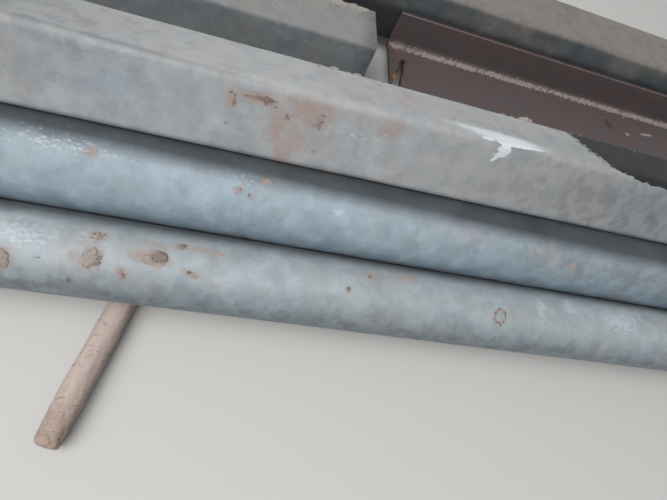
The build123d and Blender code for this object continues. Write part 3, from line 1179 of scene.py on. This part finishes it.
class STACK_OT_square_tubes(bpy.types.Operator):
    """Makes the three square tubes, each with its own age and dirt; the rear and back tubes are darker,
    as painted shade
    """

    bl_idname = "stack.square_tubes"
    bl_label = "Square Tubes"

    def execute(self, context):
        looks = {
            "top": (WORN_ZINC, TOP_DENTS, self.mark_top),
            "rear": (SHADED_REAR_ZINC, [], self.mark_rear),
            "back": (SHADED_BACK_ZINC, [], self.mark_back),
        }
        for seed, (place, (zinc, dented, mark)) in enumerate(looks.items(), 23):
            node = f"square_tube_{place}"
            steel = galvanised_steel(f"galvanised_{place}_tube", zinc)
            outer, inner = square_skins(node)
            bead = Bead(outer.around * SQUARE_WELD_PLACE, *WELD_BEAD)
            shape = steel_relief(settings().relief, seed, dented, outer)
            swept = sweep(f"{place}_square_tube", outer, tube_stations(node), shape, inner, bead)
            mark(swept, outer)
            dress(swept.object, steel, node)
        return {"FINISHED"}

    def mark_top(self, swept, outer):
        """Rust, lime, creases, dust, painted shade and the wet patch, with the haze above the ridge
        only.
        """
        keep_marks(swept, outer, rust=TOP_RUST, deep_rust=TOP_DEEP_RUST, scrape=TOP_SCRAPES_AND_GLINTS,
                   lime=TOP_LIME, crease=TOP_CREASES, damp=TOP_PAINTED_SHADE, dust=TOP_DUST)
        haze = mark_field(outer, swept.x, swept.s, TOP_HAZE)
        set_field(swept.object, "haze", haze * unit((swept.s - 33 * MM) / (4 * MM)))
        set_field(swept.object, "wet", wet_field(swept.x, swept.s))

    def mark_rear(self, swept, outer):
        """Dust on the top, and painted shade at the near end."""
        end = swept.x.max()
        from_top = abs(outer.apart(swept.s, 76 * MM)) - 30 * MM
        near_end = unit((swept.x - (end - 46 * MM)) / (40 * MM))
        set_field(swept.object, "damp", unit((swept.x - (end - 26 * MM)) / (20 * MM)))
        dust = np.clip(0.6 - from_top / (12 * MM), 0, 0.75)
        set_field(swept.object, "dust", dust * (1 - near_end * 0.8))

    def mark_back(self, swept, outer):
        """Painted shade on the lower half of the front face and round its bottom edge."""
        under = 34 * MM - abs(outer.apart(swept.s, UNDERSIDE))
        set_field(swept.object, "painted_gap_shade", ramp(under, 16 * MM))


ANGLE_EDGE = 0.8 * MM
ANGLE_FLAT_PARTS = [14, 1, 8, 10, 1, 24]
ANGLE_CORNER_PARTS = 6
ANGLE_STEP = 6 * MM
NOTCH_POINTS = 40
NOTCH_CLEARANCE = 5 * MM


def angle_skin():
    """The outline of the angle section. It starts at the root, on the flat leg, and goes up."""
    chosen = settings()
    low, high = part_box("angle_section")
    thick = chosen.angle_thickness
    corners = [
        (high.y - thick, low.z + thick),
        (high.y - thick, high.z),
        (high.y, high.z),
        (high.y, low.z),
        (low.y, low.z),
        (low.y, low.z + thick),
    ]
    radii = [chosen.angle_root, chosen.angle_toe, ANGLE_EDGE, ANGLE_EDGE, ANGLE_EDGE, chosen.angle_toe]
    return rounded_skin(corners, radii, ANGLE_FLAT_PARTS, ANGLE_CORNER_PARTS)


def notch_length(low, high):
    """How far the notch reaches across the flat leg."""
    return high.y - low.y - settings().angle_thickness - settings().notch_web


def notch_sides(y, low, high):
    """The notch's left and right sides along X at places across the leg, and the share of its length.

    The share is 0 at the leg's edge and 1 at the notch's inner end.
    """
    chosen = settings()
    share = (y - low.y) / notch_length(low, high)
    middle = low.x + chosen.notch_from_end + (y - low.y) * math.tan(chosen.notch_lean)
    half = (chosen.notch_mouth + (chosen.notch_tip - chosen.notch_mouth) * share) / 2
    return middle - half, middle + half, share


def notch_cutter(low, high):
    """A ragged prism for the notch that is sawn across the flat leg from its front edge."""
    length = notch_length(low, high)
    y = low.y + np.linspace(-0.1 * length, length, NOTCH_POINTS)
    left, right, _ = notch_sides(y, low, high)
    x = np.concatenate([left, right[::-1]])
    y = np.concatenate([y, y[::-1]])
    x += 0.4 * MM * rough(np.stack([x, y, 0 * x], axis=1), 8 * MM, 61)
    levels = (low.z - NOTCH_CLEARANCE, low.z + settings().angle_thickness + NOTCH_CLEARANCE)
    rings = [np.stack([x, y, 0 * x + level], axis=-1) for level in levels]
    count = len(x)
    faces = [list(range(count)), list(range(2 * count - 1, count - 1, -1))]
    faces += [[i, i + count, (i + 1) % count + count, (i + 1) % count] for i in range(count)]
    return new_piece("notch_cutter", np.concatenate(rings), faces)


# Marks on the flat leg: along X, and back from the leg's front edge

LEG_SPOTS = marks((513, 50, 4.5, 6.5, 10, 1.6))
LEG_CHIPS = marks(
    (551, 38, 4, 5), (592, 49, 4, 3), (600, 47, 3, 2), (608, 52, 4, 2.5), (330, 40, 2, 1),
    (700, 60, 6, 4),
)


class STACK_OT_angle_section(bpy.types.Operator):
    """Makes the rolled angle with its sawn notch"""

    bl_idname = "stack.angle_section"
    bl_label = "Angle Section"

    def execute(self, context):
        low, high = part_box("angle_section")
        skin = angle_skin()

        def relief(x, s, places):
            scale = 0.06 * MM * waves(places, 8 * MM, 42)
            return 0.12 * MM * waves(places, 60 * MM, 41) + scale - 0.2 * MM

        reach = min(high.x, NEAR_HIGH + 0.1)
        places = stations(low.x, high.x, low.x, reach, ANGLE_STEP, FAR_STEP, RIM)
        bar = sweep("rolled_angle", skin, places, relief).object
        self.cut_notch(bar, low, high)
        points = np.array([vertex.co for vertex in bar.data.vertices])
        self.mark_dust_and_edge(bar, points, low, high)
        self.mark_cuts(bar, points, skin, low, high)
        dress(bar, red_oxide_primer("red_oxide_primer"), "angle_section")
        return {"FINISHED"}

    def cut_notch(self, bar, low, high):
        cutter = notch_cutter(low, high)
        cut = bar.modifiers.new("notch", "BOOLEAN")
        cut.operation = "DIFFERENCE"
        cut.object = cutter
        cut.solver = "EXACT"
        mesh = evaluated_mesh(bar)
        bpy.data.objects.remove(cutter)
        bar.modifiers.clear()
        bar.data = mesh

    def mark_dust_and_edge(self, bar, points, low, high):
        """Dust along the root, smeared near the left end, and the top edge of the upright leg: worn, and
        partly a painted highlight.
        """
        thick = settings().angle_thickness
        root = np.array([high.y - thick, low.z + thick])
        from_root = np.abs(points[:, 1:] - root).max(axis=1)
        smear = unit(1 - np.abs(points[:, 0] - low.x - 16 * MM) / (14 * MM))
        smear = 0.5 * smear * unit(1.2 - from_root / (40 * MM))
        set_field(bar, "dust", unit(unit(1.0 - from_root / (9 * MM)) + smear))
        top_edge = np.array([high.y - thick, high.z])
        from_edge = np.linalg.norm(points[:, 1:] - top_edge, axis=1)
        set_field(bar, "edge", unit(1 - from_edge / (3.4 * MM)))

    def mark_cuts(self, bar, points, skin, low, high):
        """Rust on the tab beside the notch, bare chips, dark steel on the cuts, and painted shade on the
        toe.
        """
        thick = settings().angle_thickness
        x, y, z = points.T
        left, right, share = notch_sides(y, low, high)
        from_side = unit(1 - np.maximum(left - x, 0) / (7 * MM))
        low_on_tab = bell(share - 0.32, 0.16) * (x < left + 1 * MM)
        set_field(bar, "deep_rust", from_side * low_on_tab)
        flat = z < low.z + thick + 1 * MM
        set_field(bar, "chip", mark_field(skin, x, y - low.y, LEG_CHIPS) * flat)
        walls = (x > left - 0.6 * MM) * (x < right + 0.6 * MM) * (share < 1.02)
        # The top face of the upright leg is darkened as painted shade.
        toe = (z > high.z - 1 * MM) * (y > high.y - thick + 1.5 * MM)
        spot = np.clip(mark_field(skin, x, y - low.y, LEG_SPOTS), 0, 0.7) * flat
        set_field(bar, "sawn", np.maximum(np.maximum(walls, toe * 0.8), spot))


def axis_of(node):
    """The ends of a round bearer's axis, from front to back."""
    points = np.array([vertex.co for vertex in frame["nodes"][node].data.vertices])
    middle = points.mean(axis=0)
    heading = np.linalg.svd(points - middle, full_matrices=False)[2][0]
    heading[2] = 0
    heading *= math.copysign(1, heading[1]) / np.linalg.norm(heading)
    along = (points - middle) @ heading
    return middle + heading * along.min(), heading, along.max() - along.min()


TIP_TAPER = 40 * MM
TIP_NARROWING = 1.5 * MM
TIP_ROUND = 5 * MM
TIMBER_PARTS = 44
TIMBER_SLACK = 0.5 * MM
TIMBER_KNOTS = 4


def timber_stick(node, name, seed):
    """A peeled stick: fibrous, with knots, a tapered rounded front end and a sawn back end."""
    low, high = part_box(node)
    radius = (high.z - low.z) / 2
    start, heading, length = axis_of(node)
    skin = circle_skin(0, low.z + radius, radius, TIMBER_PARTS)
    turns = np.linspace(0, math.pi / 2, 8)[:-1]
    tip = TIP_ROUND * (1 - np.cos(turns))
    fine = np.arange(TIP_ROUND, TIP_TAPER, 1.8 * MM)
    coarse = np.arange(TIP_TAPER, length - RIM, 4 * MM)
    places = np.concatenate([tip, fine, coarse, [length - RIM, length]])
    chance = np.random.RandomState(seed)
    knots = [
        (chance.uniform(0.05, 0.95) * length, chance.uniform(0, 1) * skin.around)
        for _ in range(TIMBER_KNOTS)
    ]

    def relief(x, s, surface):
        stretched = surface * np.array([0.12, 1.0, 1.0])
        fibres = 0.35 * MM * rough(stretched, 7 * MM, seed)
        fibres += 0.25 * MM * waves(surface, 60 * MM, seed + 5)
        narrowing = TIP_NARROWING * unit(1 - x / TIP_TAPER)
        rounding = TIP_ROUND * (1 - np.sqrt(unit(1 - (1 - unit(x / TIP_ROUND)) ** 2)))
        swelling = 0 * x
        for knot_x, knot_s in knots:
            away = np.hypot((x - knot_x) / (9 * MM), skin.apart(s, knot_s) / (6 * MM))
            swelling += 0.5 * MM * bell(away, 1)
        worn = 1.5 * MM * unit(rough(surface, 7 * MM, seed + 9)) * np.exp(-x / (14 * MM))
        pits = 0.3 * MM * unit(rough(surface, 5 * MM, seed + 11))
        return np.minimum(fibres + swelling - TIMBER_SLACK, 0) - narrowing - rounding - worn - pits

    swept = sweep(name, skin, places, relief, cut=0.3 * MM)
    turn = Matrix.Rotation(math.atan2(heading[1], heading[0]), 4, "Z")
    swept.object.data.transform(Matrix.Translation((start[0], start[1], 0)) @ turn)
    set_field(swept.object, "dirt", unit(1 - swept.x / (70 * MM)) * 0.9)
    return swept.object


class STACK_OT_timber_bearers(bpy.types.Operator):
    """Makes the peeled round bearers under the stack"""

    bl_idname = "stack.timber_bearers"
    bl_label = "Timber Bearers"

    def execute(self, context):
        timber = peeled_timber("peeled_timber")
        for seed, place in enumerate(("left", "long", "inner", "right"), 51):
            node = f"bearer_{place}"
            stick = timber_stick(node, f"{place}_bearer", seed)
            dress(stick, timber, node)
        return {"FINISHED"}


def cakes(*rows):
    """Cakes of mud from rows of their values."""
    return [Cake(*row) for row in rows]


FRONT_MUD = cakes(
    (-293, 30, 5.5, 8, 0.9, 0.4, 0.25, 10, 3), (-229, 41, 5.6, 8.8, 1.3, 0.05, 0.35, -12, 4),
    (-230, 62.5, 1.8, 1.4, 0.5, 0.6, 0.0, 0, 5), (-225, 60, 2.3, 1.7, 0.6, 0.5, 0.0, 20, 16),
    (-222, 63, 1.5, 1.2, 0.4, 0.6, 0.0, 0, 17), (-227, 57.5, 1.6, 1.2, 0.4, 0.4, 0.0, 0, 18),
    (-174.5, 50.5, 6.8, 4.6, 1.9, 0.7, 0.2, -14, 6),
    (-184, 46.5, 5.5, 4.2, 0.8, 0.35, 0.1, -20, 7), (-159, 64, 2.6, 2.0, 0.6, 0.6, 0.0, 0, 8),
    (167, 42, 7.6, 8.8, 0.18, 0.35, 3.0, 12, 13), (-640, 52, 9, 7, 1.6, 0.5, 0.3, 0, 14),
    (830, 44, 7, 8, 1.3, 0.3, 0.4, 0, 15),
)
TOP_MUD = cakes(
    (-112, 21.5, 6.5, 1.6, 0.35, 0.8, 0.0, -12, 21), (-48, 105, 5, 3.5, 1.8, 0.1, 0.0, 0, 28),
    (-24, 106, 5, 3, 1.5, 0.1, 0.0, 0, 29), (140, 107, 4, 2.4, 1.4, 0.1, 0.0, 0, 30),
    (152, 107, 3, 2.2, 1.2, 0.1, 0.0, 0, 31), (168, 106, 8, 4.0, 3.2, 0.1, 0.0, -6, 32),
)


class STACK_OT_caked_dirt(bpy.types.Operator):
    """Makes the mud on the tubes, and the dirt along the angle's root and on the rear tube"""

    bl_idname = "stack.caked_dirt"
    bl_label = "Caked Dirt"

    def execute(self, context):
        mud = dried_mud("dried_mud")
        front = round_skins("round_tube_front")[0]
        top = square_skins("square_tube_top")[0]
        dress(mud_piece("front_tube_mud", [(front, cake) for cake in FRONT_MUD]), mud)
        dress(mud_piece("top_tube_mud", [(top, cake) for cake in TOP_MUD]), mud)
        dress(self.root_dirt(), mud)
        dress(self.rear_dirt(), mud)
        return {"FINISHED"}

    def strip(self, name, skin, spans, steps, height_of, red):
        """A long cake over a stretch of a section."""
        x, s, places = sheet_places(skin, spans, steps)
        height = height_of(s, places)
        piece = new_piece(name, *cake_shell(skin, x, s, height))
        # Painted shade where the strip is low and thin.
        thin = unit(0.75 - height / (1.2 * MM))
        set_field(piece, "red", np.full(2 * x.size, red))
        set_field(piece, "low_shade", np.concatenate([thin.ravel() * 0.4] * 2))
        return piece

    def root_dirt(self):
        def height_of(s, places):
            across = bell(s - 5.5 * MM - 0.8 * MM * waves(places, 40 * MM, 81), 3.8 * MM)
            amount = 0.75 + 0.4 * waves(places, 55 * MM, 82) + 0.55 * rough(places, 5 * MM, 83)
            return (1.5 * across * amount - 0.7) * MM

        spans = stretch_of("angle_section", 3, 3, -8, 24)
        return self.strip("angle_root_dirt", angle_skin(), spans, (2.0 * MM, 1.4 * MM), height_of, 0.5)

    def rear_dirt(self):
        def height_of(s, places):
            ragged = rough(places, 22 * MM, 91, 4)
            heap = 2.6 * bell(s - 113 * MM, 7 * MM) * (0.75 + 0.8 * ragged)
            thin = 0.3 * unit((s - 80 * MM) / (20 * MM))
            return (heap + thin * (ragged + 0.2) - 0.45) * MM

        skin = square_skins("square_tube_rear")[0]
        spans = stretch_of("square_tube_rear", 4, 10, 84, 124)
        return self.strip("rear_tube_dirt", skin, spans, (3.0 * MM, 2.5 * MM), height_of, 0.15)


# How thick the grains lie along each patch


def grit_at_root(s, points):
    return bell(s - 5 * MM, 4 * MM) * (0.6 + 0.8 * waves(points, 50 * MM, 101))


def grit_on_leg(s, points):
    return 0.35 + 1.2 * waves(points, 90 * MM, 103)


def grit_on_rear(s, points):
    return 0.5 + 0.9 * rough(points, 30 * MM, 91, 4)


def grit_on_top(s, points):
    return bell(s - 104 * MM, 5 * MM) * unit(waves(points, 60 * MM, 107)) * 1.5


class STACK_OT_loose_grit(bpy.types.Operator):
    """Scatters grains of grit where it gathers on the steel"""

    bl_idname = "stack.loose_grit"
    bl_label = "Loose Grit"

    def execute(self, context):
        tree = grain_tree()
        sand = loose_grit("pale_sand", linear(196, 184, 174), linear(132, 116, 108))
        earth = loose_grit("brown_earth", linear(160, 136, 120), linear(104, 82, 72))
        angle = angle_skin()
        rear = square_skins("square_tube_rear")[0]
        top = square_skins("square_tube_top")[0]
        on_root = stretch_of("angle_section", 4, 4, -6, 22)
        on_leg = stretch_of("angle_section", 40, 4, -76, -6)
        on_rear = stretch_of("square_tube_rear", 4, 6, 60, 116)
        on_top = stretch_of("square_tube_top", 20, 20, 92, 110)
        patches = (
            ("angle_root", angle, on_root, 2 * MM, grit_at_root, ROOT_GRIT, sand),
            ("angle_leg", angle, on_leg, 4 * MM, grit_on_leg, LEG_GRIT, earth),
            ("rear_tube", rear, on_rear, 4 * MM, grit_on_rear, REAR_GRIT, earth),
            ("top_tube", top, on_top, 3 * MM, grit_on_top, TOP_GRIT, earth),
        )
        for seed, row in enumerate(patches, settings().grain_seed):
            place, skin, spans, step, cover, grit, material = row
            patch = surface_patch(f"{place}_patch", skin, spans, step, cover)
            dress(scatter(f"{place}_grit", patch, tree, grit, seed, material), material)
        return {"FINISHED"}


CAMERA_PLACE = (-0.150, -0.4364, 0.5081)
CAMERA_PAN = math.radians(-28.57)
CAMERA_TILT = math.radians(55.73)
CAMERA_ROLL = math.radians(33.87)
CAMERA_LENS = 27.04
MAIN_LIGHT_PLACE = Vector((-1.65, -1.6, 2.8))
MAIN_LIGHT_SIZE = 3.0
MAIN_LIGHT_POWER = 106
BACK_LIGHT_PLACE = Vector((-0.6, 3.4, 1.3))
BACK_LIGHT_SIZE = 2.6
BACK_LIGHT_POWER = 22
SKY_COLOUR = (0.93, 0.97, 1.0)
SKY_SEEN = 0.8
SKY_LIT = 0.24
FLOOR_REACH = 14.0
FLOOR_LIT = 0.16


class STACK_OT_stage(bpy.types.Operator):
    """Sets the pale floor, the soft light and the camera"""

    bl_idname = "stack.stage"
    bl_label = "Stage"

    def execute(self, context):
        self.floor()
        self.soft_light("main_light", MAIN_LIGHT_PLACE, MAIN_LIGHT_SIZE, MAIN_LIGHT_POWER)
        self.soft_light("back_light", BACK_LIGHT_PLACE, BACK_LIGHT_SIZE, BACK_LIGHT_POWER)
        self.sky()
        self.camera()
        context.scene.view_settings.view_transform = "Standard"
        return {"FINISHED"}

    def seen_or_lit(self, graph, seen, lit):
        """One number for what the camera and reflections see, another for the light that bounces."""
        path = graph.node("ShaderNodeLightPath")
        watched = Number(graph, path.outputs["Is Camera Ray"])
        watched = watched.at_least(Number(graph, path.outputs["Is Glossy Ray"]))
        watched = watched.at_least(Number(graph, path.outputs["Is Transmission Ray"]))
        return lit + watched * (seen - lit)

    def floor(self):
        signs = [(-1, -1), (1, -1), (1, 1), (-1, 1)]
        corners = [(FLOOR_REACH * x, FLOOR_REACH * y, 0) for x, y in signs]
        floor = new_piece("floor", corners, [(0, 1, 2, 3)])
        finish = Finish("pale_floor")
        shade = self.seen_or_lit(finish, 1.0, FLOOR_LIT)
        finish.base((0, 0, 0), tuple(settings().floor_colour), shade)
        floor.data.materials.append(finish.close(0.9))

    def soft_light(self, name, place, size, power):
        lamp = bpy.data.lights.new(name, "AREA")
        lamp.size = size
        lamp.energy = power
        made = linked(name, lamp)
        made.location = place
        made.rotation_euler = (-place).to_track_quat("-Z", "Y").to_euler()

    def sky(self):
        world = bpy.data.worlds.new("soft_sky")
        world.use_nodes = True
        bpy.context.scene.world = world
        graph = Graph(world.node_tree)
        world.node_tree.nodes.clear()
        level = self.seen_or_lit(graph, SKY_SEEN, SKY_LIT)
        sky = graph.node("ShaderNodeBackground", None, {"Color": (*SKY_COLOUR, 1.0), "Strength": level})
        graph.node("ShaderNodeOutputWorld", None, {"Surface": graph.out(sky, "Background")})

    def camera(self):
        camera = bpy.data.cameras.new("camera")
        camera.lens = CAMERA_LENS
        camera.clip_start = 0.01
        made = linked("camera", camera)
        turn = Matrix.Rotation(CAMERA_PAN, 4, "Z")
        turn = turn @ Matrix.Rotation(math.pi / 2 - CAMERA_TILT, 4, "X")
        turn = turn @ Matrix.Rotation(CAMERA_ROLL, 4, "Z")
        made.matrix_world = Matrix.Translation(CAMERA_PLACE) @ turn
        bpy.context.scene.camera = made


class STACK_PT_tube_stack(bpy.types.Panel):
    """Lists the pieces of the stack and their sizes"""

    bl_idname = "STACK_PT_tube_stack"
    bl_label = "Tube Stack"
    bl_space_type = "VIEW_3D"
    bl_region_type = "UI"
    bl_category = "Tube stack"

    def draw(self, context):
        column = self.layout.column()
        for operator in OPERATORS:
            column.operator(operator.bl_idname)
        for name in StackSettings.__annotations__:
            column.prop(context.scene.tube_stack, name)


OPERATORS = (
    STACK_OT_round_tubes,
    STACK_OT_square_tubes,
    STACK_OT_angle_section,
    STACK_OT_timber_bearers,
    STACK_OT_caked_dirt,
    STACK_OT_loose_grit,
    STACK_OT_stage,
)
CLASSES = (StackSettings, *OPERATORS, STACK_PT_tube_stack)


def register():
    for made in CLASSES:
        bpy.utils.register_class(made)
    bpy.types.Scene.tube_stack = PointerProperty(type=StackSettings)


def unregister():
    del bpy.types.Scene.tube_stack
    for made in reversed(CLASSES):
        bpy.utils.unregister_class(made)


def main():
    register()
    bpy.ops.stack.round_tubes()
    bpy.ops.stack.square_tubes()
    bpy.ops.stack.angle_section()
    bpy.ops.stack.timber_bearers()
    bpy.ops.stack.caked_dirt()
    bpy.ops.stack.loose_grit()
    bpy.ops.stack.stage()


if __name__ == "__main__":
    main()
